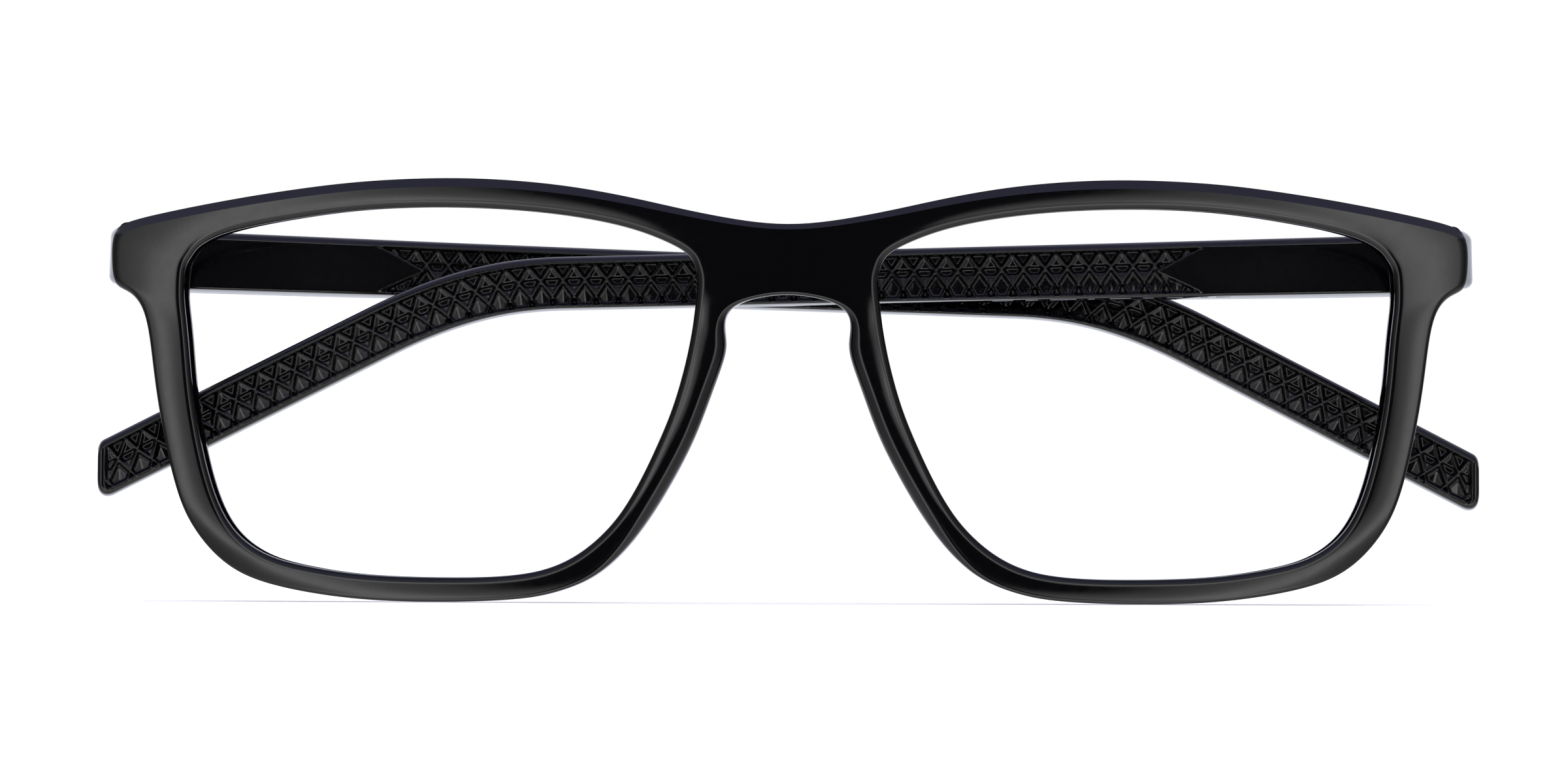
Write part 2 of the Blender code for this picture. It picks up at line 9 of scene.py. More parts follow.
import bpy
import numpy as np
from bpy.props import FloatProperty, FloatVectorProperty, IntProperty, PointerProperty
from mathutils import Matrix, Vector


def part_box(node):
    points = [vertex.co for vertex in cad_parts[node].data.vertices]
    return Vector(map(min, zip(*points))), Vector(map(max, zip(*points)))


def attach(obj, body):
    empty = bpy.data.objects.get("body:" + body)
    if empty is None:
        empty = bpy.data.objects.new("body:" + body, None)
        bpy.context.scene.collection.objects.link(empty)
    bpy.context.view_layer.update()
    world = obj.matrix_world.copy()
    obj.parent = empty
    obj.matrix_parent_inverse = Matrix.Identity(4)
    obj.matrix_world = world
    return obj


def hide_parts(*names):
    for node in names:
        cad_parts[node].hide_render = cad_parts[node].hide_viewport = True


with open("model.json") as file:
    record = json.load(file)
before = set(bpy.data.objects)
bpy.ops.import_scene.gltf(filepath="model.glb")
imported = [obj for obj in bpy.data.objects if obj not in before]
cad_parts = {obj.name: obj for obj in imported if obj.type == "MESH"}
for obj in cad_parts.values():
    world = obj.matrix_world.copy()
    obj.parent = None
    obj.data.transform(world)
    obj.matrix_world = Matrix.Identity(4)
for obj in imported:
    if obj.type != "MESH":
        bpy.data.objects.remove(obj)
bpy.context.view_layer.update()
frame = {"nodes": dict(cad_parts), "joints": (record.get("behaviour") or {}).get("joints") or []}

bl_info = {
    "name": "Rib-temple eyeglasses",
    "version": (1, 0, 0),
    "blender": (4, 5, 0),
    "location": "3D View > Sidebar > Eyeglasses",
    "description": "Builds full-rim eyeglasses round their packed frame",
    "category": "Object",
}

MM = 0.001
SIDES = {"left": 1, "right": -1}
JOINTS = {joint["name"]: joint for joint in frame["joints"]}
FACE_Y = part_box("front_frame")[0].y      # the front's foremost line, at the bridge
FRONT_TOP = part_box("front_frame")[1].z

# Matched points of the half front in millimetres, clockwise from the top centre:
# outer edge and lens aperture.  The last spans run up the centre line, where the halves join.
OUTLINE_PAIRS = np.array([
    ((0.0, 39.6), (10.3, 36.3)),
    ((8.8, 40.8), (12.0, 37.5)),
    ((17.0, 42.6), (17.0, 39.4)),
    ((25.0, 43.9), (25.0, 40.8)),
    ((34.5, 44.5), (35.0, 41.4)),
    ((45.0, 44.1), (45.0, 41.1)),
    ((54.0, 42.95), (54.0, 39.8)),
    ((60.2, 41.9), (59.4, 38.6)),
    ((65.5, 40.85), (62.0, 37.3)),
    ((70.1, 39.7), (62.9, 36.2)),
    ((71.3, 38.4), (63.5, 35.2)),
    ((71.5, 36.0), (63.7, 33.6)),
    ((71.1, 33.2), (63.7, 31.6)),
    ((69.1, 32.2), (63.5, 29.8)),
    ((67.5, 29.4), (63.2, 27.0)),
    ((66.5, 21.5), (62.6, 20.6)),
    ((64.6, 12.4), (60.9, 12.6)),
    ((62.5, 7.6), (58.6, 7.7)),
    ((59.0, 3.8), (55.1, 5.0)),
    ((54.2, 1.7), (50.7, 3.75)),
    ((45.8, 0.3), (44.5, 2.85)),
    ((37.0, 0.0), (36.5, 2.6)),
    ((29.2, 0.25), (30.0, 2.75)),
    ((24.7, 0.95), (25.3, 3.5)),
    ((20.4, 2.6), (21.6, 5.3)),
    ((17.0, 5.5), (18.4, 8.2)),
    ((14.2, 9.2), (16.1, 11.6)),
    ((11.8, 13.2), (14.0, 15.8)),
    ((9.6, 17.5), (12.1, 20.3)),
    ((7.7, 22.6), (10.8, 24.8)),
    ((6.4, 26.4), (10.1, 28.2)),
    ((6.6, 28.7), (9.8, 30.3)),
    ((6.3, 30.4), (9.6, 31.9)),
    ((4.4, 31.7), (9.5, 33.1)),
    ((0.0, 32.4), (9.5, 34.2)),
    ((0.0, 36.0), (9.8, 35.3)),
])
CENTRE_SPANS = 2
OUTLINE_BLUR = 0.3                       # width of the outline's evening out, in spans
EYE_CENTRE = np.array((36.8, 22.0))      # the middle of the lens at +X, in millimetres

# Fixed sizes of the front, in millimetres
PAD_MIDDLE = 21.2                        # height of a nose pad's middle
PAD_REACH = 8.6                          # from its middle to its upper or lower end
PAD_LEAN = 0.22                          # how far it leans, as a share of how far it stands out
ROUND_DEPTH = 0.75                       # depth of the rounded edge by a lens
REAR_ROUND = 0.5                         # radius of the aperture's rear edge
REAR_BEVEL = 0.7                         # widest rounding of the outer rear edge

# Length along a temple, its height and its thickness there, in millimetres
TEMPLE_SIZES = np.array([
    (0.0, 5.9, 4.4),
    (14.0, 5.75, 4.4),
    (28.0, 5.55, 3.6),
    (56.0, 5.35, 3.25),
    (91.0, 5.2, 3.0),
    (112.0, 5.25, 3.0),
    (136.0, 5.3, 3.0),
    (147.0, 5.2, 3.0),
])

# Low and high (s, t, h) corners of the recesses at a temple's butt, in millimetres
POCKETS = (
    ((-1.0, 0.6, -1.2), (2.9, 5.2, 1.2)),
    ((2.4, 2.2, -1.8), (13.5, 5.4, 1.8)),
)

# The dashes: where each starts along the temple and how long it is, in millimetres
DASHES = np.array([
    (19.5, 1.9), (22.2, 0.8), (24.0, 2.6), (28.0, 1.1), (30.4, 2.2),
    (34.2, 0.7), (36.0, 2.9), (40.2, 1.3), (42.8, 2.2),
])

# Brightness of the tent by direction, from straight behind the glasses at 0 to the camera's
# side at 1, and the light added to it from straight below at 0 to straight above at 1
TENT_STOPS = (
    (0.0, (0.40, 0.41, 0.46)), (0.12, (0.40, 0.41, 0.46)), (0.30, 0.13), (0.50, 0.09),
    (0.70, 0.07), (0.847, 0.14), (0.905, 0.19), (0.933, 0.27), (0.9455, 0.46), (0.954, 0.92),
    (0.962, 0.85), (0.972, 0.42), (0.984, 0.25), (0.9846, 0.10), (0.986, 0.08),
    (0.9866, 0.018), (1.0, 0.014),
)
OVERHEAD_STOPS = ((0.0, 0.25), (0.25, 0.25), (0.42, 0.0), (0.70, 0.0), (0.90, (0.06, 0.06, 0.15)))
TENT_SQUASH = 0.75                       # a direction's rise times this is what the stops read


# ---------------------------------------------------------------- settings

def length(name, description, millimetres):
    """A length setting, given in millimetres and kept in metres."""
    return FloatProperty(name=name, description=description, default=millimetres * MM,
                         unit="LENGTH", precision=5)


def colour(name, description, value):
    """A colour setting."""
    return FloatVectorProperty(name=name, description=description, default=value, size=3,
                               subtype="COLOR", min=0.0, max=1.0)


class FrontSettings(bpy.types.PropertyGroup):
    """Sizes of the moulded front and its lenses."""

    wrap_radius: length("Wrap radius", "Radius that the whole front is bent to", 300.0)
    thickness: length("Rim thickness", "Front to back through a rim", 3.6)
    crown: length("Face crown", "How far a rim's face falls away on its lower or lens side", 0.13)
    bevel_centre: length("Bevel at the bridge", "Width of the top bevel over the bridge", 0.55)
    bevel_side: length("Bevel at the sides", "Width of the bevel along the rims", 0.92)
    bevel_low: length("Low rounding", "Width of the rounding along the lower outer edges", 0.38)
    bevel_nose: length("Nose rounding", "Width of the rounding along the nose", 1.35)
    aperture_round: length("Aperture rounding", "Width of the rounded edge by a lens", 0.8)
    pad_height: length("Nose pad height", "How far a nose pad stands behind the rim", 4.3)
    lens_dome: length("Lens dome", "Rise of a lens over its edge", 1.3)
    lens_thickness: length("Lens thickness", "Thickness of a lens", 1.6)
    steps: IntProperty(name="Outline steps", description="Rows for each span of the outline",
                       default=8, min=2, max=16)


class TempleSettings(bpy.types.PropertyGroup):
    """Sizes of the temples and of their rib lattice."""

    straight: length("Straight length", "Hinge to the start of the bend", 90.2)
    bend_radius: length("Bend radius", "Radius of the ear bend", 45.0)
    bend_angle: FloatProperty(name="Bend angle", description="How far the ear end turns down",
                              default=math.radians(25.4), subtype="ANGLE")
    drop: length("Ear end", "Straight length after the bend", 33.3)
    inner: length("Inner face", "Hinge axis to the inner face", 1.6)
    rib_pitch: length("Rib pitch", "Distance between two rib crossings", 2.31)
    rib_rise: length("Rib rise", "Rib crossing to the node above or below it", 1.62)
    rib_width: length("Rib width", "Width of a rib at half its height", 0.42)
    pit: length("Pit depth", "Depth of the lattice pits", 0.85)
    arrow_start: length("Arrow corners", "Where the plain zone starts to narrow", 23.1)
    arrow_tip: length("Arrow tip", "Where the plain zone ends in a point", 27.8)


class FinishSettings(bpy.types.PropertyGroup):
    """Colours of the finishes."""

    plastic: colour("Plastic", "Black moulded plastic", (0.0012, 0.0012, 0.0020))
    steel: colour("Steel", "Hinge steel", (0.56, 0.56, 0.57))
    spring: colour("Spring steel", "Drawn spring wire", (0.42, 0.42, 0.44))
    brass: colour("Brass", "Turned brass", (0.70, 0.52, 0.24))
    ink: colour("Ink", "Pale size dashes", (0.22, 0.23, 0.25))


# ---------------------------------------------------------------- mesh making

def grid_quads(ids, close_rows=False, close_columns=False):
    """Quads of a grid of vertex numbers: each joins a point with its next row and column."""
    if close_rows:
        ids = np.vstack([ids, ids[:1]])
    if close_columns:
        ids = np.hstack([ids, ids[:, :1]])
    corners = (ids[:-1, :-1], ids[:-1, 1:], ids[1:, 1:], ids[1:, :-1])
    return np.stack(corners, axis=-1).reshape(-1, 4)


def fan(ring, hub):
    """Triangles from every side of a closed ring of vertex numbers to one hub."""
    return np.stack([ring, np.roll(ring, -1), np.full(len(ring), hub)], axis=-1)


def capped(ids):
    """Faces of a tube of rings: its wall and a fan at each end, to two hubs that come after it."""
    ends = (fan(ids[0][::-1], ids.size), fan(ids[-1], ids.size + 1))
    return (grid_quads(ids, close_columns=True), *ends)


def unit_box():
    """Corners of the unit cube, two rows of four along the first axis, and its six quads."""
    corners = np.array([(s, t, h) for s in (0, 1) for t, h in ((0, 0), (1, 0), (1, 1), (0, 1))])
    ids = np.arange(8).reshape(2, 4)
    return corners, np.vstack([grid_quads(ids, close_columns=True), ids[:1, ::-1], ids[1:]])


def add_piece(name, points, face_sets, body, finish, replaced=()):
    """Make an object of points in metres and arrays of faces, and let it ride on a body if one is given.
    """
    mesh = bpy.data.meshes.new(name)
    sizes = np.concatenate([np.full(len(faces), faces.shape[1]) for faces in face_sets])
    corners = np.concatenate([faces.ravel() for faces in face_sets])
    mesh.vertices.add(len(points))
    mesh.vertices.foreach_set("co", points.astype(np.float32).ravel())
    mesh.loops.add(len(corners))
    mesh.loops.foreach_set("vertex_index", corners.astype(np.int32))
    mesh.polygons.add(len(sizes))
    starts = np.concatenate([[0], np.cumsum(sizes)[:-1]])
    mesh.polygons.foreach_set("loop_start", starts.astype(np.int32))
    mesh.update(calc_edges=True)
    if mesh.validate():
        raise RuntimeError(f"{name} had faces that are not sound")
    if signed_volume(mesh) < 0:
        mesh.flip_normals()
    piece = bpy.data.objects.new(name, mesh)
    bpy.context.scene.collection.objects.link(piece)
    if body:
        mesh.materials.append(finish)
        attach(piece, body)
        if replaced:
            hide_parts(*replaced)
    return piece


def signed_volume(mesh):
    """Six times the volume: the sum of triangle corners' triple products."""
    mesh.calc_loop_triangles()
    points = np.zeros(len(mesh.vertices) * 3, np.float32)
    mesh.vertices.foreach_get("co", points)
    points = points.reshape(-1, 3).astype(float)
    corners = np.zeros(len(mesh.loop_triangles) * 3, np.int32)
    mesh.loop_triangles.foreach_get("vertices", corners)
    a, b, c = points[corners.reshape(-1, 3)].transpose(1, 0, 2)
    return float(np.sum(a * np.cross(b, c)))


def carve(piece, tools, operation):
    """Join tool shapes to a piece, or cut them out of it, for good."""
    for tool in tools:
        change = piece.modifiers.new(tool.name, "BOOLEAN")
        change.operation = operation
        change.solver = "MANIFOLD"
        change.object = tool
    bpy.context.view_layer.update()
    evaluated = piece.evaluated_get(bpy.context.evaluated_depsgraph_get())
    carved = bpy.data.meshes.new_from_object(evaluated)
    piece.modifiers.clear()
    before = len(piece.data.polygons)
    piece.data = carved
    if len(carved.polygons) < before // 2:
        raise RuntimeError(f"{piece.name} lost its shape when it was cut")
    for tool in tools:
        bpy.data.objects.remove(tool)


def shade(piece, degrees):
    """Smooth shading with sharp edges above an angle."""
    piece.data.shade_smooth()
    piece.data.set_sharp_from_angle(angle=math.radians(degrees))


def smoothstep(low, high, value):
    """0 below low, 1 above high, and the cubic 3u^2 - 2u^3 between."""
    u = np.clip((value - low) / (high - low), 0.0, 1.0)
    return u * u * (3.0 - 2.0 * u)


# ---------------------------------------------------------------- hinge places

def hinge_axes(name, folded):
    """Origin, along, outward and upward directions of a side's hinge, open or folded.

    The temple's direction is +Y made square to the axis.  Folding turns it about the axis by
    Rodrigues' formula for a vector square to the axis: v cos + (axis x v) sin.
    """
    joint = JOINTS["fold_" + name]
    side = SIDES[name]
    axis = -side * np.array(joint["axis"])
    axis /= np.linalg.norm(axis)
    along = np.array((0.0, 1.0, 0.0)) - axis[1] * axis
    along /= np.linalg.norm(along)
    if folded:
        angle = side * math.radians(joint["range_deg"][1])
        along = along * math.cos(angle) + np.cross(axis, along) * math.sin(angle)
    outward = -side * np.cross(axis, along)
    return np.array(joint["pos_m"]), along, outward, axis


def at_hinge(name, folded, s, t, h):
    """World points of places s along, t outward and h up from a hinge, in metres."""
    origin, along, outward, up = hinge_axes(name, folded)
    return (origin + np.asarray(s)[..., None] * along + np.asarray(t)[..., None] * outward
            + np.asarray(h)[..., None] * up)


# ---------------------------------------------------------------- finishes

def new_finish(name, base, roughness, metallic=0.0):
    """A material, its Principled shader and the Object coordinates that its patterns read."""
    material = bpy.data.materials.new(name)
    material.use_nodes = True
    nodes = material.node_tree.nodes
    shader = nodes["Principled BSDF"]
    shader.inputs["Base Color"].default_value = (*base, 1.0)
    shader.inputs["Roughness"].default_value = roughness
    shader.inputs["Metallic"].default_value = metallic
    coordinates = nodes.new("ShaderNodeTexCoord")
    return material, shader, coordinates.outputs["Object"]


def noise(material, vector, scale, detail=3.0, stretch=None):
    """Noise in object space, optionally stretched along the axes."""
    tree = material.node_tree
    if stretch:
        mapping = tree.nodes.new("ShaderNodeMapping")
        mapping.inputs["Scale"].default_value = stretch
        tree.links.new(vector, mapping.inputs["Vector"])
        vector = mapping.outputs["Vector"]
    texture = tree.nodes.new("ShaderNodeTexNoise")
    texture.inputs["Scale"].default_value = scale
    texture.inputs["Detail"].default_value = detail
    tree.links.new(vector, texture.inputs["Vector"])
    return texture.outputs["Fac"]


def remap(material, value, low, high):
    """The middle range of a noise value, 0.3 to 0.7, stretched to low..high."""
    tree = material.node_tree
    node = tree.nodes.new("ShaderNodeMapRange")
    node.inputs["From Min"].default_value = 0.3
    node.inputs["From Max"].default_value = 0.7
    node.inputs["To Min"].default_value = low
    node.inputs["To Max"].default_value = high
    tree.links.new(value, node.inputs["Value"])
    return node.outputs["Result"]


def bump(material, shader, height, strength, distance):
    """Surface relief from a height value."""
    node = material.node_tree.nodes.new("ShaderNodeBump")
    node.inputs["Strength"].default_value = strength
    node.inputs["Distance"].default_value = distance
    material.node_tree.links.new(height, node.inputs["Height"])
    material.node_tree.links.new(node.outputs["Normal"], shader.inputs["Normal"])


def black_plastic(settings):
    """Polished black plastic: a slight swell of the moulding and a fine grain in its gloss."""
    material, shader, place = new_finish("black_plastic", settings.plastic, 0.08)
    shader.inputs["IOR"].default_value = 1.54
    tree = material.node_tree
    gloss = remap(material, noise(material, place, 900.0), 0.06, 0.11)
    tree.links.new(gloss, shader.inputs["Roughness"])
    bump(material, shader, noise(material, place, 2600.0, 2.0), 0.05, 0.00002)
    return material


def coated_lens():
    """Clear lens: it lets light straight through and mirrors a little, by Fresnel's law.

    The index is that of the anti-reflection coat, so that the mirrored share stays small.
    """
    material = bpy.data.materials.new("coated_lens")
    material.use_nodes = True
    tree = material.node_tree
    tree.nodes.remove(tree.nodes["Principled BSDF"])
    coordinates = tree.nodes.new("ShaderNodeTexCoord")
    clear = tree.nodes.new("ShaderNodeBsdfTransparent")
    mirror = tree.nodes.new("ShaderNodeBsdfGlossy")
    share = tree.nodes.new("ShaderNodeFresnel")
    share.inputs["IOR"].default_value = 1.045
    mix = tree.nodes.new("ShaderNodeMixShader")
    haze = remap(material, noise(material, coordinates.outputs["Object"], 80.0), 0.01, 0.03)
    tree.links.new(haze, mirror.inputs["Roughness"])
    tree.links.new(share.outputs["Fac"], mix.inputs["Fac"])
    tree.links.new(clear.outputs["BSDF"], mix.inputs[1])
    tree.links.new(mirror.outputs["BSDF"], mix.inputs[2])
    tree.links.new(mix.outputs["Shader"], tree.nodes["Material Output"].inputs["Surface"])
    return material


def worked_metal(name, base, roughness, stretch):
    """Metal with fine tool marks, drawn out along one direction, and a mottled gloss."""
    material, shader, place = new_finish(name, base, roughness, 1.0)
    tree = material.node_tree
    marks = noise(material, place, 1500.0, 4.0, stretch)
    gloss = remap(material, marks, roughness * 0.7, roughness * 1.5)
    tree.links.new(gloss, shader.inputs["Roughness"])
    bump(material, shader, marks, 0.15, 0.00001)
    return material


def dash_ink(settings):
    """Matt printed ink."""
    material, shader, place = new_finish("dash_ink", settings.ink, 0.6)
    gloss = remap(material, noise(material, place, 3000.0), 0.5, 0.75)
    material.node_tree.links.new(gloss, shader.inputs["Roughness"])
    return material


def named_finish(name):
    """The named finish, made once."""
    found = bpy.data.materials.get(name)
    if found:
        return found
    settings = bpy.context.scene.finish_settings
    makers = {
        "black_plastic": lambda: black_plastic(settings),
        "coated_lens": coated_lens,
        "dash_ink": lambda: dash_ink(settings),
        "hinge_steel": lambda: worked_metal("hinge_steel", settings.steel, 0.24, (1.0, 1.0, 0.15)),
        "screw_steel": lambda: worked_metal("screw_steel", settings.steel, 0.16, (1.0, 1.0, 1.0)),
        "spring_wire": lambda: worked_metal("spring_wire", settings.spring, 0.28, (0.2, 1.0, 1.0)),
        "turned_brass": lambda: worked_metal("turned_brass", settings.brass, 0.22, (0.15, 1.0, 1.0)),
    }
    return makers[name]()


# ---------------------------------------------------------------- the front

def spline(points, steps):
    """Closed Catmull-Rom curve: half of 2b + (c-a)u + (2a-5b+4c-d)u^2 + (3b-a-3c+d)u^3."""
    a, b, c, d = (np.roll(points, shift, axis=0)[:, None, :] for shift in (1, 0, -1, -2))
    u = (np.arange(steps) / steps)[None, :, None]
    curve = 2 * b + (c - a) * u + (2 * a - 5 * b + 4 * c - d) * u ** 2
    curve = curve + (3 * b - a - 3 * c + d) * u ** 3
    return (curve / 2).reshape(-1, points.shape[1])


def blurred(loop, width):
    """A closed loop averaged round itself with a bell weight exp(-k^2 / 2 width^2)."""
    shifts = np.arange(-int(3 * width), int(3 * width) + 1)
    weights = np.exp(-0.5 * (shifts / width) ** 2)
    moved = np.array([np.roll(loop, shift, axis=0) for shift in shifts])
    return np.tensordot(weights / weights.sum(), moved, axes=1)


def loop_normals(loop):
    """Unit normals of a clockwise closed loop, pointing out of it: the turned chord (-dz, dx)."""
    chord = np.roll(loop, -1, axis=0) - np.roll(loop, 1, axis=0)
    normal = np.stack([-chord[:, 1], chord[:, 0]], axis=1)
    return normal / np.linalg.norm(normal, axis=1, keepdims=True)


def outlines(steps):
    """Outer edge with its normals, and aperture with its normals, row for row, in metres."""
    outer_points = OUTLINE_PAIRS[:len(OUTLINE_PAIRS) - CENTRE_SPANS + 1, 0]
    mirrored = outer_points[-2:0:-1] * (-1, 1)
    whole = blurred(spline(np.vstack([outer_points, mirrored]), steps), steps * OUTLINE_BLUR) * MM
    whole[:, 1] = np.clip(whole[:, 1], 0.0, FRONT_TOP)
    edge_rows = (len(outer_points) - 1) * steps + 1
    edge = whole[:edge_rows]
    edge_normals = loop_normals(whole)[:edge_rows]
    edge[[0, -1], 0] = 0.0
    edge_normals[[0, -1], 0] = 0.0
    hole = blurred(spline(OUTLINE_PAIRS[:, 1], steps), steps * OUTLINE_BLUR) * MM
    return edge, edge_normals, hole, loop_normals(hole)


def wrapped(x, z, depth, radius):
    """Bend a flat place to the wrap: depth runs square to a cylinder of that radius."""
    lean = np.arcsin(x / radius)
    return np.stack([x - depth * np.sin(lean),
                     FACE_Y + radius * (1.0 - np.cos(lean)) + depth * np.cos(lean),
                     z * np.ones_like(depth)], axis=-1)


def front_half(settings):
    """Vertices and quads of the half front at +X.

    Each row is a section through the rim.  It runs over the face, down the rounded aperture
    edge, through the lens groove and back along the rear, and a second strip closes the outer
    edge with a bevel in front and a rounding behind.
    """
    edge, edge_normals, hole, hole_normals = outlines(settings.steps)
    thick = settings.thickness
    rows = len(hole)
    edge_rows = len(edge)
    x, z = edge.T / MM
    up = edge_normals[:, 1]
    spread = smoothstep(0.0, 30.0, x)
    top = settings.bevel_centre + (settings.bevel_side - settings.bevel_centre) * spread
    side = smoothstep(31.0, 34.0, z) * (x > 60)
    nose = smoothstep(3.0, 8.0, z) * (1 - smoothstep(28.5, 31.0, z)) * (x < 25)
    low = settings.bevel_low + (settings.bevel_side - settings.bevel_low) * side
    low = low + (settings.bevel_nose - settings.bevel_low) * nose
    bevel = np.where(up > 0.2, top, low)
    bevel = np.convolve(np.pad(bevel, 8, mode="edge"), np.ones(17) / 17, mode="valid")
    inner_edge = edge - edge_normals * bevel[:, None]
    centre_z = np.linspace(inner_edge[-1, 1], inner_edge[0, 1], rows - edge_rows + 2)[1:-1]
    centre = np.stack([np.zeros_like(centre_z), centre_z], axis=1)
    border = np.vstack([inner_edge, centre])

    pad_rise = np.zeros(rows)
    height = (edge[:, 1] - PAD_MIDDLE * MM) / (PAD_REACH * MM)
    nasal = (edge[:, 0] < 15 * MM) & (np.abs(height) < 1.0)
    pad_rise[:edge_rows] = np.where(nasal, (1.0 - height ** 2) ** 2, 0.0)

    def pad_at(v):
        """Rise of the nose pad over the rear, the square of a sine across the rim."""
        wave = np.sin(np.pi / 2 * np.clip((v - 0.05) / 0.6, 0, 1))
        return settings.pad_height * pad_rise * wave ** 2

    low_side = np.zeros(rows)
    low_side[:edge_rows] = smoothstep(0.3, 0.8, -up) * (z < 20)

    def crown_at(v):
        """Fall of the face: the square of the way to the lens, or outwards on the lower rims."""
        return settings.crown * ((1.0 - v) ** 2 * (1 - low_side) + v ** 2 * low_side)

    columns = []
    round_in = settings.aperture_round
    sill = hole + hole_normals * round_in
    for v in (1.0, 0.97, 0.9, 0.78, 0.64, 0.5, 0.36, 0.22, 0.1, 0.03):
        columns.append((sill * (1 - v) + border * v, crown_at(v)))
    turn = np.linspace(0.0, np.pi / 2, 8)
    groove = [(0.0, 0.90), (0.0, 0.95), (0.42, 1.35), (0.42, 2.25), (0.0, 2.65), (0.0, 2.72)]
    profile = [(round_in / MM * (1 - math.sin(a)), ROUND_DEPTH * (1 - math.cos(a))) for a in turn]
    profile += groove
    profile += [(REAR_ROUND * (1 - math.cos(a)), thick / MM - REAR_ROUND * (1 - math.sin(a)))
                for a in turn[::2]]
    lift = crown_at(0.0)
    for offset, depth in profile:
        fade = max(0.0, 1.0 - depth / ROUND_DEPTH)
        columns.append((hole + hole_normals * offset * MM, depth * MM + lift * fade))
    rear_sill = hole + hole_normals * REAR_ROUND * MM
    lean_in = np.zeros((rows, 2))
    lean_in[:edge_rows] = edge_normals
    for v in (0.12, 0.25, 0.38, 0.5, 0.62, 0.74, 0.86, 0.95, 1.0):
        pad = pad_at(v)
        place = rear_sill * (1 - v) + border * v - lean_in * (PAD_LEAN * pad * v)[:, None]
        columns.append((place, thick + pad))
    faces = np.stack([wrapped(place[:, 0], place[:, 1], depth * np.ones(rows), settings.wrap_radius)
                      for place, depth in columns], axis=1)

    flat_top = smoothstep(0.3, 0.8, edge_normals[:, 1])
    pad_edge = pad_at(1.0)[:edge_rows]
    strip = []
    for a in np.linspace(0.0, np.pi / 2, 9)[1:]:
        out = math.sin(a) * (1 - flat_top) + (2 * a / np.pi) * flat_top
        down = (1 - math.cos(a)) * (1 - flat_top) + (2 * a / np.pi) * flat_top
        fall = settings.crown * low_side[:edge_rows]
        strip.append((bevel * out, fall * (1 - down) + bevel * down))
    rear = np.minimum(bevel, REAR_BEVEL * MM)
    full = thick + pad_edge
    for share in (0.35, 0.7, 1.0):
        strip.append((bevel, bevel + (full - rear - bevel) * share))
    for a in np.linspace(0.0, np.pi / 2, 7)[1:-1]:
        strip.append((bevel - rear * (1 - math.cos(a)), full - rear * (1 - math.sin(a))))
    sides = []
    for out, depth in strip:
        lean = PAD_LEAN * np.clip(depth - thick * 0.6, 0.0, None) * pad_rise[:edge_rows]
        place = inner_edge + edge_normals * (out - lean)[:, None]
        sides.append(wrapped(place[:, 0], place[:, 1], depth, settings.wrap_radius))
    sides = np.stack(sides, axis=1)

    face_ids = np.arange(faces.shape[0] * faces.shape[1]).reshape(faces.shape[:2])
    side_ids = face_ids.size + np.arange(sides.shape[0] * sides.shape[1]).reshape(sides.shape[:2])
    strip_ids = np.hstack([face_ids[:edge_rows, :1], side_ids, face_ids[:edge_rows, -1:]])
    points = np.vstack([faces.reshape(-1, 3), sides.reshape(-1, 3)])
    quads = np.vstack([grid_quads(face_ids, close_rows=True), grid_quads(strip_ids)[:, ::-1]])
    return points, quads


def mirrored_whole(points, quads):
    """Both halves as one skin: points on the centre plane are shared."""
    grain = 1e-7
    both = np.vstack([points, points * (-1, 1, 1)])
    faces = np.vstack([quads, quads[:, ::-1] + len(points)])
    keys = np.round(both / grain).astype(np.int64)
    _, first, back = np.unique(keys, axis=0, return_index=True, return_inverse=True)
    return both[first], back.reshape(-1)[faces]


def end_block(name):
    """The wrapped-back end of the front: a rounded box along the temple's direction.

    A section's corners are quarter circles; its outer side flares towards the hinge, and the
    last stations draw in to break the edge of the face that meets the temple.
    """
    s = np.array((-6.3, -5.5, -4.5, -3.5, -2.5, -1.5, -0.6, -0.35, -0.24, -0.2)) * MM
    draw_in = np.array((0.0, 0, 0, 0, 0, 0, 0, 0.03, 0.1, 0.2)) * MM
    half = 2.95 * MM
    narrow = 4.4
    flare = 1.15
    low_t = 1.6 * MM
    high_t = (narrow + flare * smoothstep(-7.0, 0.0, s / MM)) * MM
    angle = np.linspace(0.0, np.pi / 2, 7)
    rounding = ((1, 1, 0.9), (-1, 1, 0.5), (-1, -1, 0.5), (1, -1, 0.9))
    corners = []
    for corner, (across, up, radius) in enumerate(rounding):
        a = angle + corner * np.pi / 2
        corners.append(np.stack([across - 0 * a, up - 0 * a, radius * MM + 0 * a, np.cos(a), np.sin(a)]))
    across, up, radius, cos, sin = np.concatenate(corners, axis=1)
    wide = ((high_t - low_t) / 2 - draw_in)[:, None]
    tall = (half - draw_in)[:, None]
    middle = ((high_t + low_t) / 2)[:, None]
    t = middle + across * (wide - radius) + radius * cos
    h = up * (tall - radius) + radius * sin
    points = at_hinge(name, False, s[:, None] * np.ones_like(t), t, h)
    ids = np.arange(t.size).reshape(t.shape)
    hubs = points[[0, -1]].mean(axis=1)
    return add_piece(f"end_block_{name}", np.vstack([points.reshape(-1, 3), hubs]), capped(ids),
                     None, None)


def build_front(settings, finish):
    """The one-piece front with its bevels, lens grooves, nose pads and end blocks."""
    points, quads = mirrored_whole(*front_half(settings))
    front = add_piece("front_shell", points, (quads,), "front", finish,
                      ["front_frame"])
    carve(front, [end_block(name) for name in SIDES], "UNION")
    shade(front, 32)
    return front


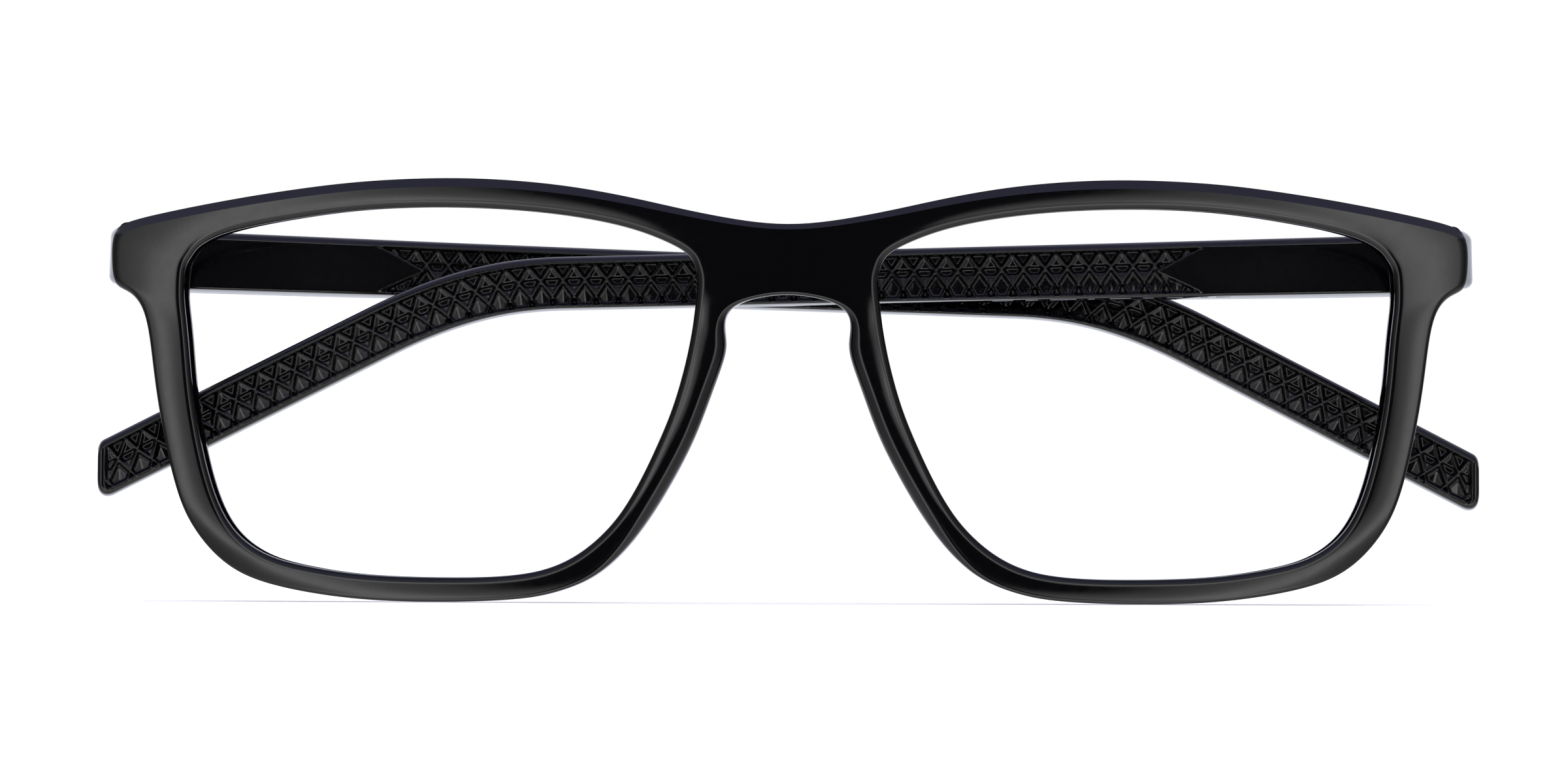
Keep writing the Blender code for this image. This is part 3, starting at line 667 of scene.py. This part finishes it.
def build_lens(name, settings, finish):
    """A domed lens: rings of the aperture drawn to its centre, whose dome rises as 1 - k^2.

    The rim of the glass reaches 0.36 mm into the groove.
    """
    hole, normals = outlines(settings.steps)[2:]
    centre = EYE_CENTRE * MM
    half = settings.lens_thickness / 2
    middle = settings.thickness / 2
    scales = np.sin(np.linspace(0.0, np.pi / 2, 22))[1:]
    rings = [(k, 0.0, middle - half - settings.lens_dome * (1 - k * k)) for k in scales]
    rings[-1] = (1.0, -0.03, rings[-1][2])
    rings += [(1.0, 0.36, middle - 0.25 * MM), (1.0, 0.36, middle + 0.25 * MM)]
    rings += [(k, -0.03 if k == 1.0 else 0.0, middle + half - settings.lens_dome * (1 - k * k))
              for k in scales[::-1]]
    loops = []
    for scale, grow, depth in rings:
        place = centre + (hole - centre) * scale + normals * grow * MM
        depths = depth * np.ones(len(place))
        loops.append(wrapped(place[:, 0], place[:, 1], depths, settings.wrap_radius))
    points = np.stack(loops)
    ids = np.arange(points[..., 0].size).reshape(points.shape[:2])
    hubs = [wrapped(centre[:1], centre[1:], np.array([middle + way * half - settings.lens_dome]),
                    settings.wrap_radius)[0] for way in (-1, 1)]
    whole = np.vstack([points.reshape(-1, 3), hubs]) * (SIDES[name], 1, 1)
    lens = add_piece(f"lens_glass_{name}", whole, capped(ids), "front", finish,
                     [f"lens_{name}"])
    shade(lens, 25)
    return lens


# ---------------------------------------------------------------- temples

def centre_line(along, settings):
    """Place (s, h) and downward angle of the temple's centre line: straight, arc, straight."""
    angle = np.clip((along - settings.straight) / settings.bend_radius, 0.0, settings.bend_angle)
    arc = settings.bend_radius * settings.bend_angle
    past = np.clip(along - settings.straight - arc, 0.0, None)
    s = np.minimum(along, settings.straight) + settings.bend_radius * np.sin(angle)
    s = s + past * np.cos(angle)
    h = -settings.bend_radius * (1 - np.cos(angle)) - past * np.sin(angle)
    return s, h, angle


def lattice_depth(along, n, low, high, end, settings):
    """Depth of the rib lattice below the inner face.

    Along the channel the ribs are the lines |m| = slope * |u|, where u is the distance from
    the nearest crossing and m the height over the lattice's own line.  Outside them lie deep
    triangles, the lower ones with a sloping floor; the diamonds between crossings have a shelf
    above and below a deep middle.  A rib's section is one wave of a cosine.  Under the lower
    nodes each pair of ribs goes on as two short legs.
    """
    pitch, rise = settings.rib_pitch, settings.rib_rise
    slope = 2 * rise / pitch
    m = n - (high - rise - 0.06 * MM)
    u = pitch / 2 - np.abs((along - settings.arrow_tip) % pitch - pitch / 2)
    off_rib = np.abs(np.abs(m) - slope * u) / math.hypot(1.0, slope)
    rib = 0.5 + 0.5 * np.cos(np.pi * np.clip(off_rib / settings.rib_width, 0, 1))
    floor = settings.pit * np.ones_like(rib)
    facet = np.clip((np.abs(m) - slope * u) / (2 * rise), 0, 1)
    floor = floor - 0.55 * settings.pit * facet * (m < 0)
    in_diamond = smoothstep(0.0, 0.35 * MM, slope * u - np.abs(m))
    upper = smoothstep(0.12 * MM, 0.32 * MM, m)
    lower = smoothstep(0.42 * MM, 0.62 * MM, -m)
    floor = floor - 0.5 * settings.pit * np.maximum(upper, lower) * in_diamond
    leg_width = 0.3 * MM
    from_node = pitch / 2 - u
    below = np.clip(-m - rise, 0.0, None)
    leg = np.clip(np.abs(from_node - 0.55 * below) / leg_width, 0, 1)
    leg = 0.5 + 0.5 * np.cos(np.pi * leg)
    rib = np.where(m < -rise, leg, np.where(m > rise, 0.0, rib))
    rib_top = 0.22 * MM
    depth = floor + (rib_top - floor) * rib
    soft = 0.14 * MM
    inside = smoothstep(low - soft, low + soft, n)
    inside = inside * (1.0 - smoothstep(high - soft, high + soft, n))
    half_height = (high - low) / 2
    off_centre = np.abs(n - (high + low) / 2) / half_height
    arrow = settings.arrow_tip - settings.arrow_start
    start = settings.arrow_tip - arrow * np.clip(off_centre, 0, 1)
    inside = inside * smoothstep(start - soft, start + soft, along)
    return depth * inside * (1.0 - smoothstep(end - soft, end + soft, along + 0 * n))


def temple_sizes(along):
    """Height and thickness along a temple, the size table smoothed with a bell of 5 mm."""
    spread = np.linspace(-2, 2, 9)
    weights = np.exp(-0.5 * spread ** 2)
    places = along[:, None] / MM + spread * 5.0
    tall, thick = (np.interp(places, TEMPLE_SIZES[:, 0], TEMPLE_SIZES[:, i]) @ weights
                   for i in (1, 2))
    return tall * MM / weights.sum(), thick * MM / weights.sum()


def build_temple(name, settings, finish):
    """A temple: one closed skin whose inner face is pressed in by the rib lattice.

    The section is a rounded box with a wide bevel over the inner face.  Towards the tip it
    draws in along quarter circles, small above and large below, and the end is cut upright.
    """
    end = settings.straight + settings.bend_radius * settings.bend_angle + settings.drop
    fine = settings.rib_pitch / 22
    face_columns = 42
    turn = np.sin(np.linspace(0.0, np.pi / 2, 16))
    butt_at = np.array((0.2, 0.24, 0.35, 0.8)) * MM
    along = np.concatenate([
        butt_at,
        np.linspace(1.5 * MM, settings.arrow_start - 0.4 * MM, 30),
        np.arange(settings.arrow_start, end - 2.2 * MM, fine),
        end - 2.15 * MM * (1 - turn),
    ])
    tall, thick = temple_sizes(along)
    butt = np.interp(along, butt_at, np.array((0.2, 0.1, 0.02, 0.0)) * MM)
    to_end = end - along

    def drawn(radius):
        """How far an edge has drawn in, on a quarter circle that ends at the tip."""
        gone = np.clip(radius - to_end, 0.0, radius)
        return radius - np.sqrt(np.clip(radius ** 2 - gone ** 2, 0.0, None))

    on_drop = smoothstep(95 * MM, 110 * MM, along)
    swell = 0.3 * MM
    top = tall / 2 + swell * (1 - on_drop) - drawn(0.7 * MM) - butt
    bottom = -tall / 2 - swell * on_drop + drawn(1.9 * MM) + butt
    pinch = drawn(0.5 * MM) + butt
    inner = settings.inner + pinch
    outer = settings.inner + thick - pinch
    bevel = 0.75 * MM
    small = (0.28 + 0.42 * on_drop) * MM
    face_high = top - bevel
    face_low = bottom + small
    t_columns = []
    n_columns = []

    def column(t, n):
        """Add one line of points that runs the length of the temple."""
        t_columns.append(t + 0 * along)
        n_columns.append(n + 0 * along)

    for v in np.linspace(0.0, 1.0, face_columns):
        column(inner, face_low + (face_high - face_low) * v)
    for v in (0.06, 0.3, 0.5, 0.7, 0.94, 1.0):
        bulge = 0.08 * MM * math.sin(math.pi * v)
        column(inner + bevel * 0.85 * v - bulge, face_high + bevel * v + bulge)
    radius = 0.85 * MM
    for a in np.linspace(0.0, np.pi / 2, 6):
        column(outer - radius * (1 - math.sin(a)), top - radius * (1 - math.cos(a)))
    for v in (0.33, 0.67):
        column(outer + 0.05 * MM, top - radius + (bottom - top + 2 * radius) * v)
    for a in np.linspace(0.0, np.pi / 2, 6):
        column(outer - radius * (1 - math.cos(a)), bottom + radius * (1 - math.sin(a)))
    for a in np.linspace(0.0, np.pi / 2, 5)[:-1]:
        column(inner + small * (1 - math.sin(a)), bottom + small * (1 - math.cos(a)))
    t = np.stack(t_columns, axis=1)
    n = np.stack(n_columns, axis=1)
    low = (np.maximum(-tall / 2, bottom) + 0.42 * MM)[:, None]
    high = (top - 0.86 * MM)[:, None]
    face = slice(0, face_columns)
    t[:, face] += lattice_depth(along[:, None], n[:, face], low, high, end - 1.05 * MM, settings)
    upright = math.tan(settings.bend_angle + math.radians(2.0))
    shift = smoothstep(end - 9 * MM, end, along)[:, None] * upright
    reach = along[:, None] - n * shift
    s, h, angle = centre_line(reach, settings)
    points = at_hinge(name, True, s + n * np.sin(angle), t, h + n * np.cos(angle))
    ids = np.arange(t.size).reshape(t.shape)
    hubs = points[[0, -1]].mean(axis=1)
    temple = add_piece(f"temple_arm_{name}", np.vstack([points.reshape(-1, 3), hubs]), capped(ids),
                       f"temple_{name}", finish, [f"temple_{name}"])
    carve(temple, [hinge_pocket(name, *corners) for corners in POCKETS], "DIFFERENCE")
    shade(temple, 75)
    return temple


def hinge_pocket(name, low, high):
    """A box-shaped cutter between two corners given as (s, t, h) in millimetres."""
    corner, faces = unit_box()
    s, t, h = (np.array(low) + corner * (np.array(high) - np.array(low))).T * MM
    return add_piece(f"pocket_{name}_{low[0]:g}", at_hinge(name, True, s, t, h), (faces,),
                     None, None)


def build_dashes(settings, finish):
    """Pale dashes printed under the left temple: boxes that stand 0.01 mm out of it."""
    start = (DASHES * MM)[:, 0]
    end = (DASHES * MM).sum(axis=1)
    tall = temple_sizes(end)[0] / 2
    corner, box = unit_box()
    s = start[:, None] + (end - start)[:, None] * corner[:, 0]
    t = (0.9 + 0.6 * corner[:, 1]) * MM + settings.inner + 0 * s
    h = -tall[:, None] - (0.015 * corner[:, 2] - 0.005) * MM
    faces = (box[None] + len(corner) * np.arange(len(DASHES))[:, None, None]).reshape(-1, 4)
    points = at_hinge("left", True, s.ravel(), t.ravel(), h.ravel())
    return add_piece("size_dashes", points, (faces,), "temple_left", finish)


# ---------------------------------------------------------------- operators

class BuildFront(bpy.types.Operator):
    """Build the moulded front."""

    bl_idname = "eyeglasses.front"
    bl_label = "Front"

    def execute(self, context):
        build_front(context.scene.front_settings, named_finish("black_plastic"))
        return {"FINISHED"}


class BuildLenses(bpy.types.Operator):
    """Build both lenses."""

    bl_idname = "eyeglasses.lenses"
    bl_label = "Lenses"

    def execute(self, context):
        for name in SIDES:
            build_lens(name, context.scene.front_settings, named_finish("coated_lens"))
        return {"FINISHED"}


class BuildTemples(bpy.types.Operator):
    """Build both temples and the dashes under the left one."""

    bl_idname = "eyeglasses.temples"
    bl_label = "Temples"

    def execute(self, context):
        for name in SIDES:
            build_temple(name, context.scene.temple_settings, named_finish("black_plastic"))
        build_dashes(context.scene.temple_settings, named_finish("dash_ink"))
        return {"FINISHED"}


class FinishHinges(bpy.types.Operator):
    """Give every hinge piece its metal, and the other nodes their plastic or lens finish."""

    bl_idname = "eyeglasses.hinges"
    bl_label = "Hinge metals"

    def execute(self, context):
        metals = {
            "front_hinge": "hinge_steel",
            "spring_plunger": "hinge_steel",
            "plunger_nut": "hinge_steel",
            "spring_housing": "hinge_steel",
            "hinge_screw": "screw_steel",
            "coil_spring": "spring_wire",
            "guide_bush": "turned_brass",
        }
        for node, piece in frame["nodes"].items():
            metal = metals.get(node.rsplit("_", 1)[0], "black_plastic")
            if node.startswith("lens"):
                metal = "coated_lens"
            piece.data.materials.clear()
            piece.data.materials.append(named_finish(metal))
        return {"FINISHED"}


class BuildStage(bpy.types.Operator):
    """Set the pale floor, the soft light and the camera."""

    bl_idname = "eyeglasses.stage"
    bl_label = "Stage"

    def execute(self, context):
        build_floor()
        build_light(context.scene)
        build_camera(context.scene)
        return {"FINISHED"}


# ---------------------------------------------------------------- stage

def build_floor():
    """A plain pale floor at the height that the rims stand on."""
    reach = 6.0
    mesh = bpy.data.meshes.new("floor")
    mesh.from_pydata([(-reach, -reach, 0), (reach, -reach, 0), (reach, reach, 0), (-reach, reach, 0)],
                     [], [(0, 1, 2, 3)])
    floor = bpy.data.objects.new("floor", mesh)
    bpy.context.scene.collection.objects.link(floor)
    material, shader, _ = new_finish("pale_floor", (0.88, 0.88, 0.88), 0.9)
    shader.inputs["Specular IOR Level"].default_value = 0.0
    mesh.materials.append(material)
    floor.visible_glossy = False


def world_value(tree, kind, first, second=None):
    """A maths node on one or two values."""
    node = tree.nodes.new("ShaderNodeMath")
    node.operation = kind
    for socket, value in zip(node.inputs, (first, second)):
        if isinstance(value, (int, float)):
            socket.default_value = value
        elif value is not None:
            tree.links.new(value, socket)
    return node.outputs["Value"]


def ramp(tree, value, stops):
    """A colour ramp with its stops given as place and grey or colour."""
    node = tree.nodes.new("ShaderNodeValToRGB")
    elements = node.color_ramp.elements
    while len(elements) < len(stops):
        elements.new(0.5)
    for element, (place, shown) in zip(elements, stops):
        element.position = place
        colours = shown if isinstance(shown, tuple) else (shown, shown, shown)
        element.color = (*colours, 1.0)
    tree.links.new(value, node.inputs["Fac"])
    return node.outputs["Color"]


def build_light(scene):
    """A soft tent, dark where the camera stands, with a bright ring round it, and a wide lamp.

    The camera itself sees plain white behind the glasses.
    """
    world = bpy.data.worlds.new("tent")
    scene.world = world
    world.use_nodes = True
    tree = world.node_tree
    tree.nodes.clear()
    place = tree.nodes.new("ShaderNodeTexCoord")
    squash = tree.nodes.new("ShaderNodeMapping")
    squash.vector_type = "NORMAL"
    squash.inputs["Scale"].default_value = (1.0, 1.0, 1.0 / TENT_SQUASH)
    parts = tree.nodes.new("ShaderNodeSeparateXYZ")
    tree.links.new(place.outputs["Generated"], squash.inputs["Vector"])
    tree.links.new(squash.outputs["Vector"], parts.inputs["Vector"])
    towards = world_value(tree, "MULTIPLY", parts.outputs["Y"], -0.5)
    towards = world_value(tree, "ADD", towards, 0.5)
    round_about = ramp(tree, towards, TENT_STOPS)
    height = world_value(tree, "MULTIPLY", parts.outputs["Z"], 0.5)
    height = world_value(tree, "ADD", height, 0.5)
    overhead = ramp(tree, height, OVERHEAD_STOPS)
    tint = tree.nodes.new("ShaderNodeMix")
    tint.data_type = "RGBA"
    tint.blend_type = "ADD"
    tint.inputs["Factor"].default_value = 1.0
    tree.links.new(round_about, tint.inputs["A"])
    tree.links.new(overhead, tint.inputs["B"])
    tent = tree.nodes.new("ShaderNodeBackground")
    tree.links.new(tint.outputs["Result"], tent.inputs["Color"])
    tent.inputs["Strength"].default_value = 2.4
    seen = tree.nodes.new("ShaderNodeBackground")
    seen.inputs["Color"].default_value = (1.0, 1.0, 1.0, 1.0)
    path = tree.nodes.new("ShaderNodeLightPath")
    mix = tree.nodes.new("ShaderNodeMixShader")
    output = tree.nodes.new("ShaderNodeOutputWorld")
    tree.links.new(path.outputs["Is Camera Ray"], mix.inputs["Fac"])
    tree.links.new(tent.outputs["Background"], mix.inputs[1])
    tree.links.new(seen.outputs["Background"], mix.inputs[2])
    tree.links.new(mix.outputs["Shader"], output.inputs["Surface"])

    lamp = bpy.data.lights.new("overhead", "SUN")
    lamp.angle = math.radians(75.0)
    lamp.energy = 3.2
    holder = bpy.data.objects.new("overhead", lamp)
    holder.location = (0.1, 0.25, 1.1)
    holder.rotation_euler = (math.radians(-12.0), math.radians(5.0), 0.0)
    holder.visible_glossy = False
    scene.collection.objects.link(holder)
    scene.view_settings.view_transform = "Standard"


def build_camera(scene):
    """A long lens level with the middle of the front, a little to the wearer's left."""
    target = np.array((-0.4 * MM, FACE_Y + 3 * MM, 22.15 * MM))
    distance = 2.4
    seen_width = 164.3 * MM
    azimuth = math.radians(1.2)
    roll = -0.0035
    camera = bpy.data.cameras.new("camera")
    camera.sensor_width = 36.0
    camera.lens = camera.sensor_width * distance / seen_width
    camera.clip_start = 0.01
    holder = bpy.data.objects.new("camera", camera)
    holder.location = target + distance * np.array((math.sin(azimuth), -math.cos(azimuth), 0.0))
    holder.rotation_euler = (math.pi / 2, roll, azimuth)
    scene.collection.objects.link(holder)
    scene.camera = holder


class EyeglassesPanel(bpy.types.Panel):
    """Lists the steps that build the eyeglasses."""

    bl_idname = "VIEW3D_PT_eyeglasses"
    bl_label = "Eyeglasses"
    bl_space_type = "VIEW_3D"
    bl_region_type = "UI"
    bl_category = "Eyeglasses"

    def draw(self, context):
        for step in STEPS:
            self.layout.operator(step.bl_idname)
        for group in SETTINGS:
            settings = getattr(context.scene, group)
            box = self.layout.box()
            for name in settings.__annotations__:
                box.prop(settings, name)


SETTINGS = {
    "front_settings": FrontSettings,
    "temple_settings": TempleSettings,
    "finish_settings": FinishSettings,
}
STEPS = (BuildStage, FinishHinges, BuildFront, BuildLenses, BuildTemples)


def register():
    """Register the classes and hang the settings on the scene."""
    for cls in (*SETTINGS.values(), *STEPS, EyeglassesPanel):
        bpy.utils.register_class(cls)
    for name, cls in SETTINGS.items():
        setattr(bpy.types.Scene, name, PointerProperty(type=cls))


def unregister():
    """Take the settings and classes away again."""
    for name in SETTINGS:
        delattr(bpy.types.Scene, name)
    for cls in reversed((*SETTINGS.values(), *STEPS, EyeglassesPanel)):
        bpy.utils.unregister_class(cls)


def main():
    """Register the settings and steps, and build everything."""
    register()
    for step in STEPS:
        area, name = step.bl_idname.split(".")
        getattr(getattr(bpy.ops, area), name)()


if __name__ == "__main__":
    main()
